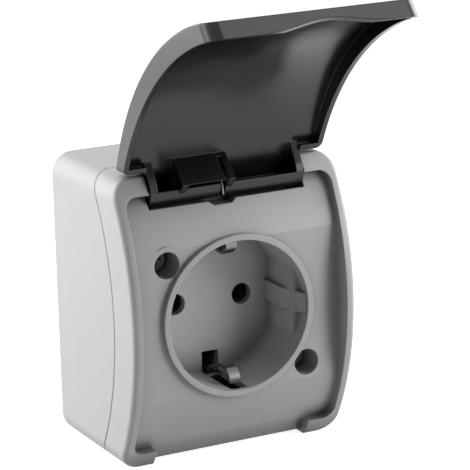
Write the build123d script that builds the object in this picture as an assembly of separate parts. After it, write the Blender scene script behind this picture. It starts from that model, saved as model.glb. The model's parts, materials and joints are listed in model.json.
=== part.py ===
"""Outdoor weatherproof socket: a surface box with a sprung lid, shown open.

Millimetres. The wall is the plane y = 0, the front faces -Y and Z is up.
The origin is the centre of the back face. A depth is a distance in front of the wall.
"""
import os
from math import cos, radians, sin, sqrt, tan

from build123d import *

# Housing
WIDTH = 62.4
HEIGHT = 75.1
DEPTH = 46.1
END_DEPTH = 34.6
CORNER_RADIUS = 5.5
WALL = 2.5
BACK_WALL = 2.5
CREST_ROUND = 1.3
COVER_DEPTH = 11.5
PARTING_BEVEL = 0.25

# Recess of the cover and the plate at its bottom
RIM_WIDTH = 2.5
RECESS_CORNER = 3.0
BAR_HEIGHT = 4.5
FOOT_HEIGHT = 4.3
GAP_HALF_WIDTH = 21.8
PLATE_DEPTH = 41.0
PLATE_THICKNESS = 2.2
PLATE_FLAT = 19.5
PLATE_END_DEPTH = 30.4
PLATE_END_RADIUS = 40.0

# Plug well
WELL_RADIUS = 19.5
WELL_WALL = 1.5
WELL_DEPTH = 17.5
WELL_FLOOR = 2.1
COLLAR_HEIGHT = 1.2
PIN_SPACING = 19.0
PIN_HOLE_RADIUS = 2.76
PAD_OFFSET = 17.3
PAD_SETBACK = 4.1
RIB_OFFSET = 16.3
RIB_HALF = 2.65
RIB_RAMP = 8.2
RIB_SETBACK = 1.0
RIB_TOP_OFFSET = 18.9
SLOT_HALF_WIDTH = 2.35
SLOT_BOTTOM = 13.85
SLOT_SETBACK = 1.6

# Lid, in its closed place
HINGE_DEPTH = 34.6
HINGE_HEIGHT = 34.8
OPEN_ANGLE = 130.0
LID_HALF_WIDTH = 27.8
LID_CROWN = 49.8
LID_RADIUS = 66.0
LID_SKIN = 2.2
LID_WALL = 1.4
LID_DEPTH = 5.8
LID_RIM_RADIUS = 73.0
LID_END = 32.4
LID_CORNER = 3.5
LID_ROUND = 0.5
LID_END_ROUND = 1.8
LID_OVER_BARS = 0.8
FINGER_NOTCH_OFFSET = 3.2
FINGER_NOTCH_HALF = 18.8
FINGER_NOTCH_RISE = 2.5
KNUCKLE_RADIUS = 5.3
KNUCKLE_WALL = 1.3
LIP_TOP = -1.4
LIP_WALL = 0.8
TROUGH_CLEARANCE = 0.8
TROUGH_WALL = 1.6
EAR_THICKNESS = 2.0
EAR_CLEARANCE = 0.4
STUB_RADIUS = 1.0
STUB_LENGTH = 2.8
STUB_CLEARANCE = 0.06

# Ears and spring housing on the lid. Their outlines are y and z from the hinge axis with the lid open
EAR_FRONT = [(0.5, 6.0), (-1.6, 2.3), (-2.8, -0.8), (-1.2, -5.1)]
EAR_BACK = [(0, 0), (2.8, 2.8), (1.5, 6.0)]
SPRING_BOX_LEFT = -13.6
SPRING_BOX_RIGHT = 1.0
CHEEK = 1.7
CHEEK_OUTLINE = [(0.55, 5.9), (-5.1, 0), (-1.0, -4.3), (2.4, -3.6), (4.3, 0), (3.0, 3.2)]
BOX_PLATE = 0.9
BOX_SLOT = 1.0
BOX_SLOT_TOP = 4.9
LIP_SLOT = 1.4
WIRE = 0.6
COIL_RADIUS = 1.75
COIL_PITCH = 0.71
COIL_TURNS = 15
COIL_GAP = 0.25
LID_LEG = [(1.6, 0.7), (0.75, 3.8)]
COVER_LEG = [(-1.67, 0.5), (-2.5, -4.4)]
SPRING_PIN_RADIUS = 1.3
LEG_POCKET_LEFT = -5.7
LEG_POCKET_RIGHT = 2.5
LEG_POCKET_DROP = 0.6
LEG_POCKET_SLANT = 1.6
LEG_POCKET_DEPTH = 5.0

# Cover screws
SCREW_CIRCLE = 24.9
SCREW_ANGLE = 140.9
COUNTERBORE_RADIUS = 3.43
TOWER_WALL = 1.3
TOWER_FLOOR = 1.2
SCREW_HEAD_RADIUS = 2.9
SCREW_HEAD = 2.1
SCREW_HEAD_SINK = 7.0
SCREW_RADIUS = 1.5
SCREW_TIP_DEPTH = 12.0
SCREW_RECESS = 1.1
SLOT_SHARE = 0.3
CROSS_SHARE = 0.65
CARRIER_SCREW_FLOOR = 2.0
SEAL = 1.0
BOSS_RADIUS = 3.6
FIT = 0.05

# Gasket between box and cover
GASKET_LIP = 1.1
GASKET_WIDTH = 1.2
GASKET_THICKNESS = 1.2

# Wall slots and cable entries
WALL_SLOT_SPACING = 55.0
WALL_SLOT_RADIUS = 2.25
WALL_SLOT_LENGTH = 8.0
ENTRY_DEPTH = 11.5
ENTRY_RADIUS = 6.5
ENTRY_FLANGE = 1.3
ENTRY_FLANGE_THICKNESS = 1.0
ENTRY_MEMBRANE = 1.2
CABLE_RADIUS = 3.5

# Contact carrier behind the well
CARRIER_HALF_WIDTH = 15.0
CARRIER_HALF_HEIGHT = 21.0
CARRIER_DEPTH = 12.9
CARRIER_GAP = 0.2
CARRIER_CORNER = 2.5
CHAMBER_HALF_WIDTH = 4.0
CHAMBER_HALF_HEIGHT = 3.4
CHAMBER_FLOOR = 1.5
WALL_GAP = 0.3
TERMINAL_HEIGHT = 15.6
LUG_X = 18.2
LUG_Z = 9.6
LUG_RADIUS = 3.0
LUG_THICKNESS = 3.4

# Contacts
BRASS = 0.8
CONTACT_HALF_WIDTH = 3.7
CONTACT_HALF_HEIGHT = 2.8
CONTACT_BEND = 3.0
THROAT = 2.3
THROAT_RISE = 7.2
CONTACT_LENGTH = 10.4
TONGUE_HALF_WIDTH = 2.3
CLIP_HALF_LENGTH = 0.8
CLIP_WALL = 0.5
CLIP_OPENING = 2.0
CLIP_SLACK = 0.2
TERMINAL_SCREW_RADIUS = 1.7
TERMINAL_HEAD_RADIUS = 2.8
TERMINAL_HEAD = 2.2
CLAMP_HALF = 3.0
CLAMP_THICKNESS = 1.2
WIRE_GAP = 2.5
THREAD_RUNOUT = 1.0
EARTH_FLOOR = 3.5
EARTH_HALF_WIDTH = 1.5
EARTH_BAR_HALF = 3.2
EARTH_REACH = 18.3
EARTH_LEAF = [(1.0, 18.1), (3.7, 16.6), (8.0, 15.2), (11.2, 15.1), (13.4, 16.9), (13.3, 18.6)]
EARTH_BEND = 1.5
EARTH_TERMINAL_Z = -11.0
RIVET_RADIUS = 1.5
RIVET_HEAD_RADIUS = 2.6
RIVET_HEAD = 0.8
RIVET_Z = 9.0

HALF_WIDTH = WIDTH / 2
HALF_HEIGHT = HEIGHT / 2
BOW = DEPTH - END_DEPTH
BOW_RADIUS = (HALF_HEIGHT**2 + BOW**2) / (2 * BOW)
PARTING_APEX = DEPTH - COVER_DEPTH
REACH = 4.0
CAVITY_HALF_WIDTH = HALF_WIDTH - WALL
CAVITY_HALF_HEIGHT = HALF_HEIGHT - WALL
RIM_PLANE = PLATE_DEPTH + COLLAR_HEIGHT
FLOOR_FRONT = RIM_PLANE - WELL_DEPTH
FLOOR_BACK = FLOOR_FRONT - WELL_FLOOR
TROUGH_RADIUS = KNUCKLE_RADIUS + TROUGH_CLEARANCE
LID_TOP = HINGE_HEIGHT + REACH
LID_RIM_DEPTH = LID_CROWN - LID_DEPTH
EAR_OUT = GAP_HALF_WIDTH - EAR_CLEARANCE
EAR_IN = EAR_OUT - EAR_THICKNESS
SCREW_X = SCREW_CIRCLE * cos(radians(SCREW_ANGLE))
SCREW_Z = SCREW_CIRCLE * sin(radians(SCREW_ANGLE))
SEAT_DEPTH = PLATE_DEPTH - SCREW_HEAD_SINK - SCREW_HEAD - SEAL
TOWER_END = SEAT_DEPTH - TOWER_FLOOR
CARRIER_FRONT = FLOOR_BACK - CARRIER_GAP
CARRIER_BACK = CARRIER_FRONT - CARRIER_DEPTH
CARRIER_SCREW_TIP = BACK_WALL + CARRIER_SCREW_FLOOR
CHAMBER_BACK = CARRIER_BACK + CHAMBER_FLOOR
THROAT_DEPTH = CHAMBER_BACK + THROAT_RISE
EARTH_BACK = CARRIER_BACK + EARTH_FLOOR
PIN_X = PIN_SPACING / 2
HINGE = Axis((0, -HINGE_DEPTH, HINGE_HEIGHT), (1, 0, 0))


def bow_depth(apex, radius, z):
    """Depth at height z of a front that bows out to apex."""
    return apex - radius + sqrt(radius**2 - z**2)


def bowed(apex, radius, back=-1.0, half_width=HALF_WIDTH + REACH, top=HALF_HEIGHT + REACH):
    """Solid from depth back forward to a front bowed about the X direction."""
    end = bow_depth(apex, radius, top)
    front = ThreePointArc((-end, -top), (-apex, 0), (-end, top))
    rest = Polyline((-end, top), (-back, top), (-back, -top), (-end, -top))
    return extrude(Plane.YZ * make_face(front + rest), half_width, both=True)


def prism(sketch, near, far, taper=0.0):
    """Sketch seen from the front, extruded from depth near to depth far."""
    return extrude(Plane.XZ.offset(near) * sketch, far - near, taper=taper)


def round_bar(x, z, radius, near, far):
    """Cylinder square to the wall."""
    return prism(Pos(x, z) * Circle(radius), near, far)


def cross_bar(radius, left, right):
    """Cylinder about the hinge axis."""
    return extrude(Plane.YZ.offset(left) * Pos(-HINGE_DEPTH, HINGE_HEIGHT) * Circle(radius), right - left)


def slab(left, right, near, far, low, high):
    """Box between two values of x, depth and z."""
    return prism(Pos((left + right) / 2, (low + high) / 2) * Rectangle(right - left, high - low), near, far)


def both_sides(shape):
    """Shape with its mirror image in the middle plane."""
    return shape + mirror(shape, about=Plane.YZ)


def turned_half(shape):
    """Shape turned half a turn about the well's axis."""
    return shape.rotate(Axis.Y, 180)


def in_front_of_plate(shift=0.0):
    """Space in front of the plate: flat in the middle, falling back at both ends."""
    flat = PLATE_DEPTH - shift
    end = PLATE_END_DEPTH - shift
    high = RadiusArc((-flat, PLATE_FLAT), (-end, HALF_HEIGHT), PLATE_END_RADIUS)
    low = RadiusArc((-end, -HALF_HEIGHT), (-flat, -PLATE_FLAT), PLATE_END_RADIUS)
    middle = Line((-flat, -PLATE_FLAT), (-flat, PLATE_FLAT))
    top = HALF_HEIGHT + REACH
    front = DEPTH + 2 * REACH
    rest = Polyline((-end, HALF_HEIGHT), (-end, top), (-front, top))
    rest += Polyline((-front, top), (-front, -top), (-end, -top), (-end, -HALF_HEIGHT))
    return extrude(Plane.YZ * make_face(high + middle + low + rest), HALF_WIDTH + REACH, both=True)


def housing_prism(inset, near, far):
    outline = RectangleRounded(WIDTH - 2 * inset, HEIGHT - 2 * inset, CORNER_RADIUS - inset)
    return prism(outline, near, far)


def screw_places(shape):
    """Shape made for the upper left screw, with its twin at the lower right."""
    return shape + turned_half(shape)


def make_cover():
    """Front half of the housing in one moulding with its plate and the plug well's wall."""
    block = housing_prism(0, 0, DEPTH + REACH) & bowed(DEPTH, BOW_RADIUS)
    block = fillet(block.faces().sort_by(Axis.Y)[0].edges(), CREST_ROUND)
    block -= bowed(PARTING_APEX, BOW_RADIUS)
    block = chamfer(block.faces().sort_by(Axis.Y)[-1].edges(), PARTING_BEVEL)

    top = HALF_HEIGHT - BAR_HEIGHT
    bottom = -HALF_HEIGHT + FOOT_HEIGHT
    mouth = Pos(0, (top + bottom) / 2) * RectangleRounded(WIDTH - 2 * RIM_WIDTH, top - bottom, RECESS_CORNER)
    recess = prism(mouth, PLATE_END_DEPTH - REACH, DEPTH + REACH)
    finger_gap = slab(-GAP_HALF_WIDTH, GAP_HALF_WIDTH, 0, DEPTH + REACH, -HALF_HEIGHT - REACH, bottom + REACH)
    body = block - ((recess + finger_gap) & in_front_of_plate())

    trough_end = EAR_OUT + STUB_LENGTH + TROUGH_WALL
    cavity = housing_prism(WALL, 0, DEPTH + REACH) - in_front_of_plate(PLATE_THICKNESS)
    cavity -= cross_bar(TROUGH_RADIUS + TROUGH_WALL, -trough_end, trough_end)
    body = body - cavity + leg_pocket(TROUGH_WALL / 2)
    body -= cross_bar(TROUGH_RADIUS, -GAP_HALF_WIDTH, GAP_HALF_WIDTH) + leg_pocket(0)
    stub_end = EAR_OUT + STUB_LENGTH + STUB_CLEARANCE
    body -= cross_bar(STUB_RADIUS + STUB_CLEARANCE, -stub_end, stub_end)

    tower = round_bar(SCREW_X, SCREW_Z, COUNTERBORE_RADIUS + TOWER_WALL, TOWER_END, PLATE_DEPTH)
    bore = round_bar(SCREW_X, SCREW_Z, COUNTERBORE_RADIUS, SEAT_DEPTH, DEPTH)
    bore += round_bar(SCREW_X, SCREW_Z, SCREW_RADIUS + FIT, TOWER_END - REACH, DEPTH)
    well = round_bar(0, 0, WELL_RADIUS + WELL_WALL, FLOOR_FRONT, RIM_PLANE)
    body = body + screw_places(tower) + well - screw_places(bore)
    return body - well_hollow()


def make_well_floor():
    """Disc that closes the plug well behind its wall, with the pin holes and earth slots."""
    return round_bar(0, 0, WELL_RADIUS + WELL_WALL, FLOOR_BACK, FLOOR_FRONT) - well_hollow()


def leg_pocket(wall):
    """Pocket in the trough's lower edge that holds the spring's leg, or the block that walls it."""
    top = HINGE_HEIGHT - TROUGH_RADIUS + LEG_POCKET_DROP
    low = top - 2 * LEG_POCKET_DROP - wall
    slant = LEG_POCKET_SLANT * (0 if wall else 1)
    corners = [(LEG_POCKET_LEFT - wall, top), (LEG_POCKET_RIGHT + wall, top)]
    corners += [(LEG_POCKET_RIGHT + wall - slant, low), (LEG_POCKET_LEFT - wall + slant, low)]
    front = HINGE_DEPTH if wall else PLATE_DEPTH
    return prism(make_face(Polyline(*corners, close=True)), HINGE_DEPTH - LEG_POCKET_DEPTH / 2 - wall, front)


def well_hollow():
    """Space that the plug enters, with its side pads and ribs, pin holes and earth slots."""
    hollow = round_bar(0, 0, WELL_RADIUS, FLOOR_FRONT, RIM_PLANE + REACH)
    pad_top = RIM_PLANE - PAD_SETBACK
    pad = slab(PAD_OFFSET, WELL_RADIUS + REACH, FLOOR_FRONT, pad_top, -WELL_RADIUS, WELL_RADIUS)
    rib_top = RIM_PLANE - RIB_SETBACK
    rib = [(RIB_OFFSET, FLOOR_FRONT), (RIB_OFFSET, rib_top - RIB_RAMP), (RIB_TOP_OFFSET, rib_top)]
    rib += [(WELL_RADIUS + REACH, rib_top), (WELL_RADIUS + REACH, FLOOR_FRONT)]
    rib_side = make_face(Polyline(*[(x, -depth) for x, depth in rib], close=True))
    pad += extrude(Plane.XY * rib_side, RIB_HALF, both=True)
    hollow -= both_sides(pad)
    hollow += both_sides(round_bar(PIN_X, 0, PIN_HOLE_RADIUS, FLOOR_BACK - REACH, FLOOR_FRONT + REACH))
    roof = RIM_PLANE - SLOT_SETBACK
    half = SLOT_HALF_WIDTH
    slot = slab(-half, half, FLOOR_BACK - REACH, roof, SLOT_BOTTOM, WELL_RADIUS + WELL_WALL / 2)
    plate_back = PLATE_DEPTH - PLATE_THICKNESS
    slot += slab(-half, half, FLOOR_FRONT, plate_back, SLOT_BOTTOM, WELL_RADIUS + 2 * WELL_WALL)
    return hollow + slot + mirror(slot, about=Plane.XY)


def lid_outline(inset):
    """Lid seen from the front, with its two lower corners rounded."""
    half = LID_HALF_WIDTH - inset
    bottom = inset - LID_END
    shape = Pos(0, (LID_TOP + bottom) / 2) * Rectangle(2 * half, LID_TOP - bottom)
    return fillet(shape.vertices().group_by(Axis.Y)[0], LID_CORNER - inset)


def hinge_plane(x):
    """Plane at x whose own axes are y and z from the hinge axis."""
    return Plane.YZ.offset(x) * Pos(-HINGE_DEPTH, HINGE_HEIGHT)


def hinge_prism(outline, left, right):
    """Outline given as y and z from the hinge axis, from x = left to x = right."""
    return extrude(hinge_plane(left) * make_face(Polyline(*outline, close=True)), right - left)


def make_lid():
    """Lid with its hinge ears, rolled knuckle and spring housing, turned open."""
    far = LID_CROWN + REACH
    shell = prism(lid_outline(0), 0, far) & bowed(LID_CROWN, LID_RADIUS)
    shell = fillet(shell.faces().sort_by(Axis.Y)[0].edges(), LID_ROUND)
    shell -= bowed(LID_RIM_DEPTH, LID_RIM_RADIUS)
    hollow = prism(lid_outline(LID_WALL), 0, far) & bowed(LID_CROWN - LID_SKIN, LID_RADIUS - LID_SKIN)
    end = HALF_HEIGHT + LID_OVER_BARS
    end_wall = both_sides(slab(EAR_OUT, WIDTH, 0, 2 * DEPTH, 0, end + LID_WALL))
    below_end = both_sides(slab(EAR_OUT, WIDTH, 0, 2 * DEPTH, 0, end) + end_corner(end))
    hollow -= end_wall.rotate(HINGE, OPEN_ANGLE)
    lid = shell - hollow - finger_notch()
    lid -= slab(-EAR_OUT, EAR_OUT, 0, far, HINGE_HEIGHT, LID_TOP + REACH)
    lid = lid.rotate(HINGE, -OPEN_ANGLE) - below_end
    front = Spline(*EAR_FRONT)
    back = Polyline(EAR_FRONT[-1], *EAR_BACK, EAR_FRONT[0])
    ear = extrude(hinge_plane(EAR_IN) * make_face(front + back), EAR_THICKNESS)
    ear += cross_bar(STUB_RADIUS, EAR_IN, EAR_OUT + STUB_LENGTH)
    return lid + make_knuckle() + both_sides(ear) + spring_box()


def make_knuckle():
    """Rolled edge of the lid: its inner face runs on below the hinge and turns up to a front lip."""
    reach = 2 * KNUCKLE_RADIUS
    roll = cross_bar(KNUCKLE_RADIUS, -EAR_OUT, EAR_OUT)
    roll -= hinge_prism([(0, 0), (-reach, 0), (-reach, -reach), (0, -reach)], -WIDTH, WIDTH)
    inner_radius = LID_RADIUS - LID_SKIN
    inner_depth = bow_depth(LID_CROWN - LID_SKIN, inner_radius, HINGE_HEIGHT)
    face = HINGE_DEPTH - inner_depth
    lean = reach * HINGE_HEIGHT / sqrt(inner_radius**2 - HINGE_HEIGHT**2)
    in_front = [(face - lean, -reach), (face + lean, reach), (reach, reach), (reach, -reach)]
    space = hinge_prism(in_front, -EAR_IN, EAR_IN).rotate(HINGE, -OPEN_ANGLE)
    roll = roll.rotate(HINGE, -OPEN_ANGLE) & behind_ear_front(0)
    inside = cross_bar(KNUCKLE_RADIUS - KNUCKLE_WALL, -WIDTH, WIDTH) & behind_ear_front(LIP_WALL)
    above = slab(-WIDTH, WIDTH, 0, 2 * DEPTH, HINGE_HEIGHT + LIP_TOP, HEIGHT)
    slot_right = SPRING_BOX_RIGHT - CHEEK
    slot = slab(slot_right - LIP_SLOT, slot_right, 0, 2 * DEPTH, 0, HINGE_HEIGHT)
    return roll - (space & (inside + above)) - slot


def behind_ear_front(shift):
    """Space behind the front line of the ears and the lip, shifted back."""
    reach = 2 * KNUCKLE_RADIUS
    points = [(y + shift, z) for y, z in EAR_FRONT]
    top, low = points[0][0], points[-1][0]
    rest = Polyline(points[-1], (low, -reach), (reach, -reach), (reach, reach), (top, reach), points[0])
    return extrude(hinge_plane(-WIDTH) * make_face(Spline(*points) + rest), 2 * WIDTH)


def end_corner(end):
    """What rounds the lid's right corner beside the hinge, above the level end."""
    square = Rectangle(2 * LID_END_ROUND, 2 * LID_END_ROUND) - Circle(LID_END_ROUND)
    place = Pos(LID_HALF_WIDTH - LID_END_ROUND, end + LID_END_ROUND)
    quarter = Pos(LID_END_ROUND / 2, -LID_END_ROUND / 2) * Rectangle(LID_END_ROUND, LID_END_ROUND)
    return prism(place * (square & quarter), 0, 2 * DEPTH)


def finger_notch():
    """Low wave in the edge of the lid's free end, for a fingertip."""
    left = FINGER_NOTCH_OFFSET - FINGER_NOTCH_HALF
    right = FINGER_NOTCH_OFFSET + FINGER_NOTCH_HALF
    edge = bow_depth(LID_RIM_DEPTH, LID_RIM_RADIUS, LID_END)
    level = (1, 0)
    peak = (FINGER_NOTCH_OFFSET, -edge - FINGER_NOTCH_RISE)
    wave = Spline((left, -edge), peak, (right, -edge), tangents=(level, level))
    rest = Polyline((right, -edge), (right, 0), (left, 0), (left, -edge))
    low = -LID_END - REACH
    return extrude(Plane.XY.offset(low) * make_face(wave + rest), LID_CORNER + REACH)


def spring_box():
    """Two cheeks and a front plate round the spring, slotted for the spring's leg."""
    inner_left = SPRING_BOX_LEFT + CHEEK
    inner_right = SPRING_BOX_RIGHT - CHEEK
    box = hinge_prism(CHEEK_OUTLINE, SPRING_BOX_LEFT, inner_left)
    box += hinge_prism(CHEEK_OUTLINE, inner_right, SPRING_BOX_RIGHT)
    (top_y, top_z), (low_y, low_z) = CHEEK_OUTLINE[:2]
    slant = BOX_PLATE * sqrt((top_y - low_y) ** 2 + (top_z - low_z) ** 2) / (top_z - low_z)
    plate = [(top_y, top_z), (low_y, low_z), (low_y + slant, low_z), (top_y + slant, top_z)]
    box += hinge_prism(plate, inner_left, inner_right)
    box -= slab(inner_right - BOX_SLOT, inner_right, 0, 2 * DEPTH, 0, HINGE_HEIGHT + BOX_SLOT_TOP)
    box -= cross_bar(SPRING_PIN_RADIUS + FIT, SPRING_BOX_LEFT - REACH, SPRING_BOX_RIGHT + REACH)
    return box


def make_spring_pin():
    return cross_bar(SPRING_PIN_RADIUS, SPRING_BOX_LEFT, SPRING_BOX_RIGHT)


def make_spring():
    """Torsion spring: a grooved tube for its close turns, with a straight leg at each end."""
    right = SPRING_BOX_RIGHT - CHEEK - COIL_GAP
    left = right - COIL_TURNS * COIL_PITCH
    outer = COIL_RADIUS + WIRE / 2
    turns = [(left, COIL_RADIUS - WIRE / 2)]
    for turn in range(COIL_TURNS):
        turns += [(left + turn * COIL_PITCH, COIL_RADIUS), (left + (turn + 0.5) * COIL_PITCH, outer)]
    turns += [(right, COIL_RADIUS), (right, COIL_RADIUS - WIRE / 2)]
    about_axis = Plane((0, -HINGE_DEPTH, HINGE_HEIGHT), x_dir=(1, 0, 0), z_dir=(0, -1, 0))
    coil = revolve(about_axis * make_face(Polyline(*turns, close=True)), HINGE)
    return coil + spring_leg(LID_LEG, left + COIL_PITCH / 2) + spring_leg(COVER_LEG, right - COIL_PITCH / 2)


def spring_leg(ends, x):
    """Straight piece of wire between two places given as y and z from the hinge axis."""
    start = Vector(x, ends[0][0] - HINGE_DEPTH, ends[0][1] + HINGE_HEIGHT)
    finish = Vector(x, ends[1][0] - HINGE_DEPTH, ends[1][1] + HINGE_HEIGHT)
    return extrude(Plane(start, z_dir=finish - start) * Circle(WIRE / 2), (finish - start).length)


def make_box():
    """Back half of the housing, open to the front, with its bosses, posts and entries."""
    block = housing_prism(0, 0, DEPTH) & bowed(PARTING_APEX - FIT, BOW_RADIUS)
    block = chamfer(block.faces().sort_by(Axis.Y)[0].edges(), PARTING_BEVEL)
    ledge = PARTING_APEX - GASKET_THICKNESS - 2 * FIT
    step = housing_prism(GASKET_LIP, 0, DEPTH) - bowed(ledge, BOW_RADIUS)
    box = block - housing_prism(WALL, BACK_WALL, DEPTH) - step
    boss = round_bar(SCREW_X, SCREW_Z, BOSS_RADIUS, BACK_WALL / 2, TOWER_END - FIT)
    rib_end = END_DEPTH - COVER_DEPTH
    rib_left = -HALF_WIDTH + WALL / 2
    boss += slab(rib_left, SCREW_X, BACK_WALL / 2, rib_end, SCREW_Z - WALL / 4, SCREW_Z + WALL / 4)
    boss -= round_bar(SCREW_X, SCREW_Z, SCREW_RADIUS + FIT, SCREW_TIP_DEPTH - FIT, DEPTH)
    post = round_bar(LUG_X, LUG_Z, LUG_RADIUS, BACK_WALL / 2, CARRIER_BACK)
    post -= round_bar(LUG_X, LUG_Z, SCREW_RADIUS + FIT, CARRIER_SCREW_TIP - FIT, DEPTH)
    box = box + screw_places(boss) + screw_places(post)
    slot = Pos(0, WALL_SLOT_SPACING / 2) * Rot(0, 0, 90) * SlotOverall(WALL_SLOT_LENGTH, 2 * WALL_SLOT_RADIUS)
    entry = entry_disc(ENTRY_RADIUS, -HALF_HEIGHT, -HALF_HEIGHT + 2 * WALL)
    entry += entry_disc(ENTRY_RADIUS + ENTRY_FLANGE, -HALF_HEIGHT, -HALF_HEIGHT + ENTRY_FLANGE_THICKNESS)
    cut = entry + prism(slot, 0, BACK_WALL)
    return box - cut - mirror(cut, about=Plane.XY)


def entry_disc(radius, low, high):
    """Upright cylinder on the axis of the cable entries."""
    return extrude(Plane.XY.offset(low) * Pos(0, -ENTRY_DEPTH) * Circle(radius), high - low)


def make_gasket():
    ring = housing_prism(GASKET_LIP + FIT, 0, DEPTH) - housing_prism(GASKET_LIP + GASKET_WIDTH, 0, DEPTH)
    front = bowed(PARTING_APEX - FIT, BOW_RADIUS)
    back = bowed(PARTING_APEX - GASKET_THICKNESS - FIT, BOW_RADIUS)
    return (ring & front) - back


def make_grommet(cable_hole):
    """Rubber plug of the lower cable entry, flush with the wall outside."""
    outside = -HALF_HEIGHT
    inside = outside + WALL
    plug = entry_disc(ENTRY_RADIUS + ENTRY_FLANGE - FIT, outside, outside + ENTRY_FLANGE_THICKNESS)
    plug += entry_disc(ENTRY_RADIUS - FIT, outside, inside)
    plug += entry_disc(ENTRY_RADIUS + ENTRY_FLANGE, inside, inside + ENTRY_FLANGE_THICKNESS)
    plug -= entry_disc(ENTRY_RADIUS - ENTRY_MEMBRANE, outside + ENTRY_MEMBRANE, inside + REACH)
    if cable_hole:
        plug -= entry_disc(CABLE_RADIUS, outside, inside)
    return plug


def make_screw(x, z, radius, tip, seat, head_radius, head, cross=True):
    """Screw square to the wall, with a cross or a plain slot in its head."""
    screw = round_bar(x, z, radius, tip, seat) + round_bar(x, z, head_radius, seat, seat + head)
    width = head_radius * SLOT_SHARE
    length = 2 * head_radius * (CROSS_SHARE if cross else 1)
    groove = prism(Pos(x, z) * Rectangle(length, width), seat + head - SCREW_RECESS, seat + head)
    if cross:
        groove += prism(Pos(x, z) * Rectangle(width, length), seat + head - SCREW_RECESS, seat + head)
    return screw - groove


def make_cover_screw():
    seat = SEAT_DEPTH + SEAL
    return make_screw(SCREW_X, SCREW_Z, SCREW_RADIUS, SCREW_TIP_DEPTH, seat, SCREW_HEAD_RADIUS, SCREW_HEAD)


def make_seal():
    ring = round_bar(SCREW_X, SCREW_Z, COUNTERBORE_RADIUS - FIT, SEAT_DEPTH, SEAT_DEPTH + SEAL)
    return ring - round_bar(SCREW_X, SCREW_Z, SCREW_RADIUS + FIT, 0, DEPTH)


def make_carrier():
    """Moulded carrier that holds the contacts behind the well's floor."""
    outline = RectangleRounded(2 * CARRIER_HALF_WIDTH, 2 * CARRIER_HALF_HEIGHT, CARRIER_CORNER)
    carrier = prism(outline, CARRIER_BACK, CARRIER_FRONT)
    lug_front = CARRIER_BACK + LUG_THICKNESS
    lug = round_bar(LUG_X, LUG_Z, LUG_RADIUS, CARRIER_BACK, lug_front)
    lug += slab(CARRIER_HALF_WIDTH - 1, LUG_X, CARRIER_BACK, lug_front, LUG_Z - LUG_RADIUS, LUG_Z + LUG_RADIUS)
    lug -= round_bar(LUG_X, LUG_Z, SCREW_RADIUS + FIT, 0, DEPTH)
    top = CARRIER_HALF_HEIGHT
    pocket_low = TERMINAL_HEIGHT - CLAMP_HALF - WALL_GAP
    pocket = slab(-CHAMBER_HALF_WIDTH, CHAMBER_HALF_WIDTH, CHAMBER_BACK, CARRIER_FRONT, pocket_low, top)
    channel_half = TONGUE_HALF_WIDTH + WALL_GAP
    pocket += slab(-channel_half, channel_half, CHAMBER_BACK, CARRIER_FRONT, 0, pocket_low)
    half = CHAMBER_HALF_HEIGHT
    pocket += slab(-CHAMBER_HALF_WIDTH, CHAMBER_HALF_WIDTH, CHAMBER_BACK, CARRIER_FRONT, -half, half)
    pocket += round_bar(0, TERMINAL_HEIGHT, TERMINAL_SCREW_RADIUS + FIT, 0, DEPTH)
    pocket = Pos(PIN_X, 0, 0) * pocket
    earth_half = EARTH_BAR_HALF + WALL_GAP
    earth = slab(-earth_half, earth_half, EARTH_BACK, CARRIER_FRONT, -top, top)
    thread_end = EARTH_BACK - THREAD_RUNOUT - FIT
    earth += round_bar(0, EARTH_TERMINAL_Z, TERMINAL_SCREW_RADIUS + FIT, thread_end, DEPTH)
    earth += round_bar(0, RIVET_Z, RIVET_RADIUS + FIT, 0, DEPTH)
    return carrier + screw_places(lug) - both_sides(pocket) - earth


def make_contact():
    """Folded brass strip of the right pin: two arms that grip it, and a tongue up to the terminal."""
    outer = CONTACT_HALF_WIDTH
    bend = CHAMBER_BACK + CONTACT_BEND
    tip = CHAMBER_BACK + CONTACT_LENGTH
    arm = [(outer, CHAMBER_BACK), (outer, bend), (THROAT + BRASS, THROAT_DEPTH), (outer, tip)]
    arm += [(x - BRASS, depth) for x, depth in reversed(arm)]
    fold = make_face(Polyline(*[(x, -depth) for x, depth in arm], close=True))
    strip = extrude(Plane.XY * fold, CONTACT_HALF_HEIGHT, both=True)
    strip = both_sides(strip)
    front = CHAMBER_BACK + BRASS
    strip += slab(-outer, outer, CHAMBER_BACK, front, -CONTACT_HALF_HEIGHT, CONTACT_HALF_HEIGHT)
    tongue_top = TERMINAL_HEIGHT + CLAMP_HALF
    strip += slab(-TONGUE_HALF_WIDTH, TONGUE_HALF_WIDTH, CHAMBER_BACK, front, 0, tongue_top)
    strip -= round_bar(0, TERMINAL_HEIGHT, TERMINAL_SCREW_RADIUS + FIT, 0, DEPTH)
    return Pos(PIN_X, 0, 0) * strip


def make_clip():
    """Steel band that presses the right contact's arms together."""
    inner_x = THROAT + BRASS + CLIP_SLACK
    inner_z = CONTACT_HALF_HEIGHT + FIT
    band = Rectangle(2 * (inner_x + CLIP_WALL), 2 * (inner_z + CLIP_WALL)) - Rectangle(2 * inner_x, 2 * inner_z)
    band -= Pos(0, inner_z) * Rectangle(CLIP_OPENING, 2 * CLIP_WALL + 1)
    clip = prism(band, THROAT_DEPTH - CLIP_HALF_LENGTH, THROAT_DEPTH + CLIP_HALF_LENGTH)
    return Pos(PIN_X, 0, 0) * clip


def make_terminal_screw():
    """Screw of the right terminal."""
    seat = CHAMBER_BACK + BRASS + WIRE_GAP + CLAMP_THICKNESS
    tip = CHAMBER_BACK - THREAD_RUNOUT
    return make_screw(
        PIN_X, TERMINAL_HEIGHT, TERMINAL_SCREW_RADIUS, tip, seat, TERMINAL_HEAD_RADIUS, TERMINAL_HEAD, False
    )


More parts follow.
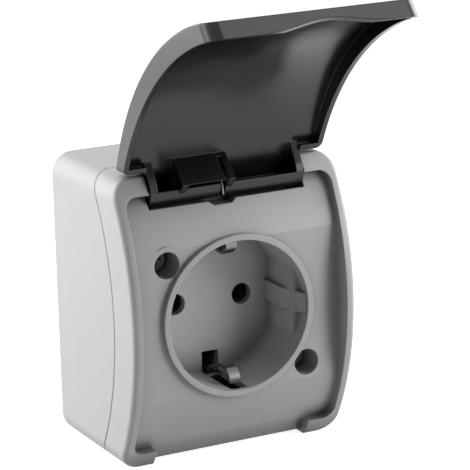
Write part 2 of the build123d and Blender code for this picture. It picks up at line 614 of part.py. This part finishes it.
def make_earth_screw():
    seat = EARTH_BACK + BRASS + WIRE_GAP + CLAMP_THICKNESS
    tip = EARTH_BACK - THREAD_RUNOUT
    return make_screw(
        0, EARTH_TERMINAL_Z, TERMINAL_SCREW_RADIUS, tip, seat, TERMINAL_HEAD_RADIUS, TERMINAL_HEAD, False
    )


def make_clamp(x, z, base):
    """Square clamp plate under a terminal screw's head."""
    near = base + WIRE_GAP
    plate = slab(x - CLAMP_HALF, x + CLAMP_HALF, near, near + CLAMP_THICKNESS, z - CLAMP_HALF, z + CLAMP_HALF)
    return plate - round_bar(x, z, TERMINAL_SCREW_RADIUS + FIT, 0, DEPTH)


def make_earth_strap():
    """Earth bar across the carrier, with a sprung leaf at each end that enters the well."""
    middle = EARTH_BACK + BRASS / 2
    points = [(middle, 0), (middle, EARTH_REACH)]
    points += [(FLOOR_FRONT + depth, z) for depth, z in EARTH_LEAF]
    path = FilletPolyline(*[(-depth, -z) for depth, z in points], radius=EARTH_BEND)
    leaf = extrude(Plane.YZ * trace(path, BRASS), EARTH_HALF_WIDTH, both=True)
    front = EARTH_BACK + BRASS
    bar_end = EARTH_REACH - EARTH_BEND
    bar = slab(-EARTH_BAR_HALF, EARTH_BAR_HALF, EARTH_BACK, front, -bar_end, bar_end)
    strap = bar + leaf + mirror(leaf, about=Plane.XY)
    strap -= round_bar(0, EARTH_TERMINAL_Z, TERMINAL_SCREW_RADIUS + FIT, 0, DEPTH)
    return strap - round_bar(0, RIVET_Z, RIVET_RADIUS + FIT, 0, DEPTH)


def make_rivet():
    front = EARTH_BACK + BRASS
    rivet = round_bar(0, RIVET_Z, RIVET_RADIUS, CARRIER_BACK - RIVET_HEAD, front + RIVET_HEAD)
    rivet += round_bar(0, RIVET_Z, RIVET_HEAD_RADIUS, front, front + RIVET_HEAD)
    return rivet + round_bar(0, RIVET_Z, RIVET_HEAD_RADIUS, CARRIER_BACK - RIVET_HEAD, CARRIER_BACK)


def make_carrier_screw():
    """Screw that holds the carrier's right lug to its post."""
    seat = CARRIER_BACK + LUG_THICKNESS
    return make_screw(LUG_X, LUG_Z, SCREW_RADIUS, CARRIER_SCREW_TIP, seat, SCREW_HEAD_RADIUS, SCREW_HEAD)


def make_pieces():
    """Every piece of the socket, by name."""
    contact = make_contact()
    clip = make_clip()
    terminal_screw = make_terminal_screw()
    clamp = make_clamp(PIN_X, TERMINAL_HEIGHT, CHAMBER_BACK + BRASS)
    cover_screw = make_cover_screw()
    seal = make_seal()
    carrier_screw = make_carrier_screw()
    return {
        "base_box": make_box(),
        "front_cover": make_cover(),
        "well_floor": make_well_floor(),
        "lid": make_lid(),
        "lid_spring": make_spring(),
        "spring_pin": make_spring_pin(),
        "cover_gasket": make_gasket(),
        "cover_screw_upper": cover_screw,
        "cover_screw_lower": turned_half(cover_screw),
        "screw_seal_upper": seal,
        "screw_seal_lower": turned_half(seal),
        "contact_carrier": make_carrier(),
        "contact_left": mirror(contact, about=Plane.YZ),
        "contact_right": contact,
        "contact_clip_left": mirror(clip, about=Plane.YZ),
        "contact_clip_right": clip,
        "earth_strap": make_earth_strap(),
        "earth_rivet": make_rivet(),
        "live_terminal_screw": mirror(terminal_screw, about=Plane.YZ),
        "neutral_terminal_screw": terminal_screw,
        "earth_terminal_screw": make_earth_screw(),
        "live_clamp": mirror(clamp, about=Plane.YZ),
        "neutral_clamp": clamp,
        "earth_clamp": make_clamp(0, EARTH_TERMINAL_Z, EARTH_BACK + BRASS),
        "carrier_screw_right": carrier_screw,
        "carrier_screw_left": turned_half(carrier_screw),
        "bottom_grommet": make_grommet(True),
        "top_grommet": mirror(make_grommet(False), about=Plane.XY),
    }


def main():
    os.makedirs("parts", exist_ok=True)
    for name, piece in make_pieces().items():
        export_step(piece, "parts/" + name + ".step")


main()
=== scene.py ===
"""Looks of the outdoor weatherproof socket: its finishes, its coiled spring, the studio and the camera."""
import json
from math import atan2, cos, degrees, radians, sin

import bpy
from mathutils import Matrix, Vector


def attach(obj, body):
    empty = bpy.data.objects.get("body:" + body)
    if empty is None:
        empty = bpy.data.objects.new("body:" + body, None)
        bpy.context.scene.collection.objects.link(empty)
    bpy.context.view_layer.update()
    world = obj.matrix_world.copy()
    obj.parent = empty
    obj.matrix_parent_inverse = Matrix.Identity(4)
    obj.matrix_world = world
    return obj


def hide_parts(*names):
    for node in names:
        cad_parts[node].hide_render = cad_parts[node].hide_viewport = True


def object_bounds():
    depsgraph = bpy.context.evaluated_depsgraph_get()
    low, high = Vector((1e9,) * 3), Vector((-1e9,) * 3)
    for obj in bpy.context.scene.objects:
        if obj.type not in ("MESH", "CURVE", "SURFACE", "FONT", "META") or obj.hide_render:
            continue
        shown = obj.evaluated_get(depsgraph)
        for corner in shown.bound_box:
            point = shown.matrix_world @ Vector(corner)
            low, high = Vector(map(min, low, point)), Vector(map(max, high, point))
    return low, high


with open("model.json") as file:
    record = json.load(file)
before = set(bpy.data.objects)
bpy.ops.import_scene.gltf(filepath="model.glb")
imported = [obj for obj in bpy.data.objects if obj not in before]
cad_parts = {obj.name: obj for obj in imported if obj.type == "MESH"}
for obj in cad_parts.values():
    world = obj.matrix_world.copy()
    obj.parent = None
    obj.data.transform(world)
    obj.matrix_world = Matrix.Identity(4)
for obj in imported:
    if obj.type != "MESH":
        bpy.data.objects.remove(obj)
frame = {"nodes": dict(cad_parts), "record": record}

MM = 0.001
cad_low, cad_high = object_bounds()
cad_nodes = frame["nodes"]

# Camera, fitted to the photograph
PHOTO_PIXELS = 470
FOCAL_PIXELS = 2523.8
CAMERA_PLACE = Vector((-278.48, -577.46, 184.38)) * MM
CAMERA_YAW = radians(-27.409)
CAMERA_PITCH = radians(-15.153)
CAMERA_ROLL = radians(-1.426)
SENSOR = 36.0

# Lid's spring, in millimetres from the hinge axis. The coil's ends are x, and each leg's two ends are y and z
HINGE_AXIS = Vector((0, -34.6, 34.8)) * MM
COIL_LEFT = -11.245
COIL_RIGHT = -1.305
COIL_RADIUS = 1.75
WIRE_RADIUS = 0.3
COIL_TURNS = 15
LID_LEG = [(-1.69, -0.46), (-1.85, 1.5)]
COVER_LEG = [(-1.67, 0.5), (-2.5, -4.4)]
POINTS_PER_TURN = 28
WIRE_SIDES = 10

# Tints of the finishes: red, green and blue
NEUTRAL = (1.0, 1.0, 1.0)
COOL = (0.99, 1.0, 1.01)
BLUISH = (1.0, 1.0, 1.05)
CREAM = (1.0, 0.97, 0.90)
IVORY = (1.0, 0.98, 0.93)
STEEL = (1.0, 0.99, 0.97)
NICKEL = (1.0, 0.98, 0.94)
BRASS = (1.0, 0.78, 0.45)

# Finishes, with lengths in millimetres
LID_SPECULAR = 0.4
STREAK_WIDTH = 0.3
EDGE_SAMPLES = 8
SHADE_SAMPLES = 8
# Name: darkest and lightest grey, tint, least roughness, and the scale of its streaks on X, Y and Z,
# where a smaller one makes them longer
METALS = {
    "spring_steel": (0.11, 0.20, STEEL, 0.30, (1, 0.2, 1)),
    "screw_steel": (0.13, 0.24, NICKEL, 0.26, (1, 0.2, 1)),
    "contact_brass": (0.22, 0.40, BRASS, 0.30, (1, 1, 0.1)),
    "earth_metal": (0.12, 0.22, NICKEL, 0.24, (0.1, 1, 1)),
}

# Mix node's sockets for colours, which share their names with its sockets for other kinds
MIX_FIRST = 6
MIX_SECOND = 7
MIX_RESULT = 2

# Studio. Rays that see the background meet the backdrop and the floor's glow and tone,
# and all others meet the ambient light and the floor's bounce. The floor's clouds are in millimetres
AMBIENT = 0.01
BACKDROP = 1.0
FLOOR_GLOW = 0.84
FLOOR_TONE = 0.85
FLOOR_SPREAD = 0.03
FLOOR_BOUNCE = 0.4
FLOOR_ROUGHNESS = 0.9
FLOOR_CLOUDS = 200
FLOOR_SIDE = 3000 * MM
# Name: azimuth and elevation that it shines from, its distance and size in metres, and its power in watts
LAMPS = {
    "left": (-120, 5, 0.6, 0.5, 1.0),
    "back_left": (-155, 14, 0.45, 0.3, 0.55),
    "high_left": (-120, 35, 0.6, 0.5, 2.5),
    "right": (80, 22, 0.6, 0.3, 0.9),
    "high_right": (57, 55, 0.6, 0.2, 0.3),
    "near_front": (45, 10, 0.25, 0.12, 0.25),
    "near_right": (100, 16, 0.40, 0.20, 0.6),
}


class Output:
    """One output of a node. A sum or product with it adds its Math nodes."""

    def __init__(self, nodes, socket):
        self.nodes = nodes
        self.socket = socket

    def math(self, operation, other):
        return self.nodes.node("ShaderNodeMath", {"operation": operation}, {0: self, 1: other})

    def __add__(self, other):
        return self.math("ADD", other)

    __radd__ = __add__

    def __mul__(self, other):
        return self.math("MULTIPLY", other)

    __rmul__ = __mul__


class Nodes:
    """A node tree, whose nodes are added by one method."""

    def __init__(self, tree):
        self.tree = tree

    def node(self, kind, settings={}, inputs={}, output=0):
        """Adds a node, sets it first, then fills its inputs, and gives one of its outputs."""
        made = self.tree.nodes.new(kind)
        for name, value in settings.items():
            setattr(made, name, value)
        for name, value in inputs.items():
            self.fill(made.inputs[name], value)
        return Output(self, made.outputs[output])

    def fill(self, socket, value):
        """Gives an input its value, or its link to an output or to each output of a list."""
        if isinstance(value, list):
            for part in value:
                self.fill(socket, part)
        elif isinstance(value, Output):
            self.tree.links.new(value.socket, socket)
        else:
            socket.default_value = value


class Shading(Nodes):
    """The nodes of a material or a world, which end in its shader."""

    def __init__(self, owner, shader):
        owner.use_nodes = True
        super().__init__(owner.node_tree)
        self.shader = self.tree.nodes[shader]

    def set(self, **inputs):
        """Fills the shader's inputs, named with underscores for spaces."""
        for name, value in inputs.items():
            self.fill(self.shader.inputs[name.replace("_", " ")], value)

    def mix(self, factor, first, second):
        """Colour between two colours."""
        values = {"Factor": factor, MIX_FIRST: first, MIX_SECOND: second}
        return self.node("ShaderNodeMix", {"data_type": "RGBA"}, values, MIX_RESULT)

    def sees_background(self):
        """1 for the camera's rays and for those that metal and glass send on, and 0 for the rest."""
        camera, glossy, through = (self.node("ShaderNodeLightPath", output="Is " + ray + " Ray")
                                   for ray in ("Camera", "Glossy", "Transmission"))
        return camera.math("MAXIMUM", glossy.math("MAXIMUM", through))


class Finish(Shading):
    """A material with patterns on its Object coordinates."""

    def __init__(self, name):
        self.material = bpy.data.materials.new(name)
        super().__init__(self.material, "Principled BSDF")
        self.place = self.node("ShaderNodeTexCoord", output="Object")

    def noise(self, size, detail=2, roughness=0.5, place=None):
        """Noise whose features are about this size, in millimetres."""
        place = place or self.place
        values = {"Vector": place, "Scale": 1 / (size * MM), "Detail": detail, "Roughness": roughness}
        return self.node("ShaderNodeTexNoise", {}, values)

    def painted_shade(self, colour, reach, dark):
        """Colour with painted shade: it falls to the dark one in corners and holes narrower than this reach, in
        millimetres.
        """
        values = {"Distance": reach * MM}
        # painted shade: ambient occlusion darkens the colour itself in corners and holes
        open_air = self.node("ShaderNodeAmbientOcclusion", {"samples": SHADE_SAMPLES}, values, "AO")
        return self.mix(open_air, dark, colour)

    def soft_edges(self, radius):
        """Normals that round each sharp edge by this radius, in millimetres."""
        return self.node("ShaderNodeBevel", {"samples": EDGE_SAMPLES}, {"Radius": radius * MM})

    def bump(self, height, depth, normal=None):
        """Normals of this height's bumps, which are this deep in millimetres, on top of other normals."""
        values = {"Height": height, "Distance": depth * MM, "Strength": 1.0}
        if normal:
            values["Normal"] = normal
        return self.node("ShaderNodeBump", {}, values)


def grey(tone, tint=NEUTRAL):
    return tuple(tone * part for part in tint) + (1.0,)


def housing_plastic():
    """Light grey satin plastic with a fine moulded grain, and painted shade in its corners and recesses."""
    finish = Finish("housing_plastic")
    clouds = finish.noise(size=14, detail=3)
    grain = finish.noise(size=0.35, detail=3, roughness=0.6)
    colour = finish.mix(clouds, grey(0.60, COOL), grey(0.64))
    # painted shade: the grey falls towards 0.10 in corners and holes narrower than 6 mm
    colour = finish.painted_shade(colour, reach=6, dark=grey(0.10))
    normal = finish.bump(grain, depth=0.012, normal=finish.soft_edges(radius=0.35))
    finish.set(Base_Color=colour, Roughness=0.32 + 0.10 * clouds + 0.06 * grain, Normal=normal)
    return finish.material


def lid_plastic():
    """Near-black plastic with a soft gloss, shallow waves and a faint moulded grain."""
    finish = Finish("lid_plastic")
    clouds = finish.noise(size=18, detail=3)
    grain = finish.noise(size=0.5, detail=3, roughness=0.6)
    colour = finish.mix(clouds, grey(0.008), grey(0.013, BLUISH))
    waves = finish.bump(finish.noise(size=11, detail=1), depth=0.12, normal=finish.soft_edges(radius=0.3))
    normal = finish.bump(grain, depth=0.006, normal=waves)
    finish.set(Base_Color=colour, Roughness=0.17 + 0.07 * clouds + 0.04 * grain, Normal=normal)
    finish.set(Specular_IOR_Level=LID_SPECULAR)
    return finish.material


def carrier_plastic():
    """Off-white thermoset with a matte speckle, and painted shade that makes it dark where it lies deep in the
    housing.
    """
    finish = Finish("carrier_plastic")
    speckle = finish.noise(size=0.6, detail=4, roughness=0.7)
    colour = finish.mix(speckle, grey(0.62, CREAM), grey(0.72, IVORY))
    # painted shade: the colour falls to near black in recesses narrower than 9 mm
    colour = finish.painted_shade(colour, reach=9, dark=grey(0.02))
    finish.set(Base_Color=colour, Roughness=0.55 + 0.1 * speckle, Normal=finish.bump(speckle, depth=0.02))
    return finish.material


def seal_rubber():
    """Matte black rubber with a powdery bloom."""
    finish = Finish("seal_rubber")
    bloom = finish.noise(size=5, detail=5, roughness=0.6)
    pores = finish.noise(size=0.25)
    colour = finish.mix(bloom, grey(0.014), grey(0.035))
    finish.set(Base_Color=colour, Roughness=0.62 + 0.2 * bloom, Normal=finish.bump(pores, depth=0.02))
    return finish.material


def metal(name, dark, light, tint, roughness, stretch):
    """Drawn or stamped metal with fine streaks along one axis of the part, and a cloudy patina."""
    finish = Finish(name)
    stretched = finish.node("ShaderNodeMapping", {}, {"Vector": finish.place, "Scale": stretch})
    streaks = finish.noise(STREAK_WIDTH, detail=3, place=stretched)
    patina = finish.noise(size=3, detail=4, roughness=0.6)
    colour = finish.mix(patina, grey(dark, tint), grey(light, tint))
    shine = roughness + 0.12 * streaks + 0.06 * patina
    finish.set(Base_Color=colour, Metallic=1.0, Roughness=shine, Normal=finish.bump(streaks, depth=0.006))
    return finish.material


def leg_angle(leg):
    """Angle round the hinge axis at which a leg meets the coil."""
    y, z = leg[0]
    return atan2(z, y)


def coil_tree(finish):
    """Geometry Nodes that wind a wire into close turns along X, with a straight leg at each end."""
    group = bpy.data.node_groups.new("coil", "GeometryNodeTree")
    group.interface.new_socket("Geometry", in_out="OUTPUT", socket_type="NodeSocketGeometry")
    sizes = ["Turns", "Coil Radius", "Wire Radius", "Length"]
    places = ["Start", "Lid Leg Start", "Lid Leg End", "Cover Leg Start", "Cover Leg End"]
    sockets = {}
    for names, kind in ((sizes, "NodeSocketFloat"), (places, "NodeSocketVector")):
        for name in names:
            sockets[name] = group.interface.new_socket(name, in_out="INPUT", socket_type=kind).identifier
    tree = Nodes(group)
    given = {name: tree.node("NodeGroupInput", output=name) for name in sockets}

    along = Vector((1, 0, 0))
    across = Vector((0, cos(leg_angle(LID_LEG)), sin(leg_angle(LID_LEG))))
    turned = Matrix((across, along.cross(across), along)).transposed().to_euler()
    turns = tree.node("GeometryNodeCurveSpiral", {}, {
        "Resolution": POINTS_PER_TURN, "Rotations": given["Turns"], "Height": given["Length"],
        "Start Radius": given["Coil Radius"], "End Radius": given["Coil Radius"]})
    parts = [tree.node("GeometryNodeTransform", {}, {
        "Geometry": turns, "Translation": given["Start"], "Rotation": turned})]
    for leg in ("Lid Leg", "Cover Leg"):
        ends = {"Start": given[leg + " Start"], "End": given[leg + " End"]}
        parts.append(tree.node("GeometryNodeCurvePrimitiveLine", {}, ends))
    wire = tree.node("GeometryNodeJoinGeometry", {}, {"Geometry": parts})
    profile = tree.node("GeometryNodeCurvePrimitiveCircle", {}, {
        "Resolution": WIRE_SIDES, "Radius": given["Wire Radius"]})
    tube = tree.node("GeometryNodeCurveToMesh", {}, {"Curve": wire, "Profile Curve": profile, "Fill Caps": True})
    tube = tree.node("GeometryNodeSetShadeSmooth", {}, {"Geometry": tube})
    tube = tree.node("GeometryNodeRealizeInstances", {}, {"Geometry": tube})
    tube = tree.node("GeometryNodeSetMaterial", {}, {"Geometry": tube, "Material": finish})
    tree.fill(group.nodes.new("NodeGroupOutput").inputs["Geometry"], tube)
    return group, sockets


def spring(finish):
    """Torsion spring of the lid: real turns in the place of the grooved tube."""
    group, sockets = coil_tree(finish)
    piece = bpy.data.objects.new("spring_turns", bpy.data.meshes.new("spring_turns"))
    bpy.context.scene.collection.objects.link(piece)
    modifier = piece.modifiers.new("coil", "NODES")
    modifier.node_group = group
    last_part = degrees(leg_angle(COVER_LEG) - leg_angle(LID_LEG)) / 360 % 1
    values = {
        "Turns": COIL_TURNS - 1 + last_part,
        "Coil Radius": COIL_RADIUS * MM,
        "Wire Radius": WIRE_RADIUS * MM,
        "Length": (COIL_RIGHT - COIL_LEFT) * MM,
        "Start": HINGE_AXIS + Vector((COIL_LEFT, 0, 0)) * MM,
    }
    for leg, x, ends in (("Lid Leg", COIL_LEFT, LID_LEG), ("Cover Leg", COIL_RIGHT, COVER_LEG)):
        for name, (y, z) in zip((" Start", " End"), ends):
            values[leg + name] = HINGE_AXIS + Vector((x, y, z)) * MM
    for name, value in values.items():
        modifier[sockets[name]] = value
    evaluated = piece.evaluated_get(bpy.context.evaluated_depsgraph_get())
    mesh = bpy.data.meshes.new_from_object(evaluated)
    piece.modifiers.clear()
    piece.data = mesh
    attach(piece, "lid")
    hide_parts("lid_spring")


def dress_cad_nodes():
    """Gives every CAD node the finish of its material slot, and the spring its real turns."""
    plastics = (housing_plastic, lid_plastic, carrier_plastic, seal_rubber)
    finishes = {make.__name__: make() for make in plastics}
    for name, values in METALS.items():
        finishes[name] = metal(name, *values)
    for part in frame["record"]["subparts"]:
        piece = cad_nodes[part["node"]]
        piece.data.materials.clear()
        piece.data.materials.append(finishes[part["material_slot"]])
    spring(finishes["spring_steel"])


def studio():
    """Surroundings that are white to the camera and in reflections, a floor with a shadow, and the lamps."""
    scene = bpy.context.scene
    scene.view_settings.view_transform = "Standard"
    scene.world = bpy.data.worlds.new("studio")
    sky = Shading(scene.world, "Background")
    sky.set(Color=grey(1.0), Strength=AMBIENT + (BACKDROP - AMBIENT) * sky.sees_background())
    floor(cad_low.z)
    for name, values in LAMPS.items():
        lamp(name, *values)


def floor(height):
    """White paper under the object, which lights it less than it shows."""
    mesh = bpy.data.meshes.new("floor")
    half = FLOOR_SIDE / 2
    corners = [(-half, -half, height), (half, -half, height), (half, half, height), (-half, half, height)]
    mesh.from_pydata(corners, [], [(0, 1, 2, 3)])
    plane = bpy.data.objects.new("floor", mesh)
    bpy.context.scene.collection.objects.link(plane)
    finish = Finish("floor_paper")
    seen = finish.sees_background()
    paper = finish.mix(finish.noise(FLOOR_CLOUDS), grey(FLOOR_TONE), grey(FLOOR_TONE + FLOOR_SPREAD))
    finish.set(Base_Color=finish.mix(seen, grey(FLOOR_BOUNCE), paper), Roughness=FLOOR_ROUGHNESS)
    finish.set(Emission_Color=finish.mix(seen, grey(0.0), grey(FLOOR_GLOW)), Emission_Strength=1.0)
    mesh.materials.append(finish.material)


def lamp(name, azimuth, elevation, distance, size, power):
    """Square soft lamp that shines at the middle of the object. Azimuth 0 is in front, -90 on the left."""
    light = bpy.data.lights.new(name, "AREA")
    light.size = size
    light.energy = power
    turn, rise = radians(azimuth), radians(elevation)
    towards = Vector((sin(turn) * cos(rise), -cos(turn) * cos(rise), sin(rise)))
    middle = (cad_low + cad_high) / 2
    holder = bpy.data.objects.new(name, light)
    holder.location = middle + towards * distance
    holder.rotation_euler = towards.to_track_quat("Z", "Y").to_euler()
    bpy.context.scene.collection.objects.link(holder)


def camera():
    """Camera at the photographer's place, turned by its yaw, pitch and roll."""
    level = cos(CAMERA_PITCH)
    forward = Vector((-sin(CAMERA_YAW) * level, cos(CAMERA_YAW) * level, sin(CAMERA_PITCH)))
    level_right = forward.cross(Vector((0, 0, 1))).normalized()
    level_up = level_right.cross(forward)
    right = level_right * cos(CAMERA_ROLL) + level_up * sin(CAMERA_ROLL)
    up = level_up * cos(CAMERA_ROLL) - level_right * sin(CAMERA_ROLL)
    lens = bpy.data.cameras.new("camera")
    lens.sensor_width = SENSOR
    lens.lens = FOCAL_PIXELS * SENSOR / PHOTO_PIXELS
    eye = bpy.data.objects.new("camera", lens)
    turned = Matrix((right, up, -forward)).transposed().to_4x4()
    eye.matrix_world = Matrix.Translation(CAMERA_PLACE) @ turned
    bpy.context.scene.collection.objects.link(eye)
    bpy.context.scene.camera = eye


dress_cad_nodes()
studio()
camera()
